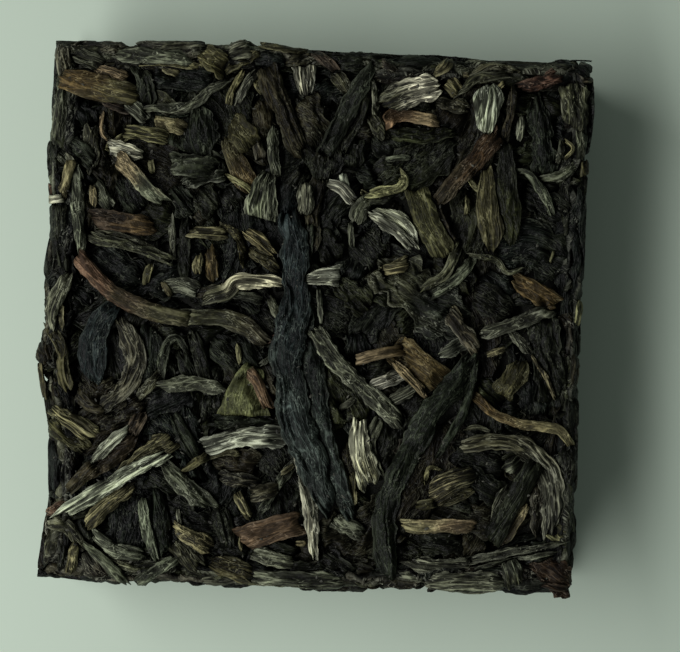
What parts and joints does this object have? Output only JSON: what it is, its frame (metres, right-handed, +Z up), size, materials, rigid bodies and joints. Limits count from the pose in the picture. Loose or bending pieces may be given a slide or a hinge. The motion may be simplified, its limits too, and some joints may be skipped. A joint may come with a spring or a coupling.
{
  "type": "pressed pu erh tea brick",
  "caption": "Small square brick of pressed tea: rolled dark leaves, flat blades, silver buds and stem bits packed flush on all six sides.",
  "frame": {"origin": "middle of the underside, on the plane that the brick rests on", "axes": "+Z up through the thickness, +Y towards the picture's top edge, +X towards its right edge"},
  "size_m": [0.0558, 0.0558, 0.014],
  "materials": {
    "dark_leaf": "matte, finely wrinkled along the leaf",
    "grey_leaf": "matte with a slight sheen on pale ridges",
    "olive_leaf": "matte, finely wrinkled along the leaf",
    "silver_bud": "downy, pleated lengthwise",
    "stem": "matte and fibrous",
    "crumb": "matte broken leaf"
  },
  "bodies": {
    "root": {"tea_brick": "dark_leaf"}
  },
  "joints": []
}
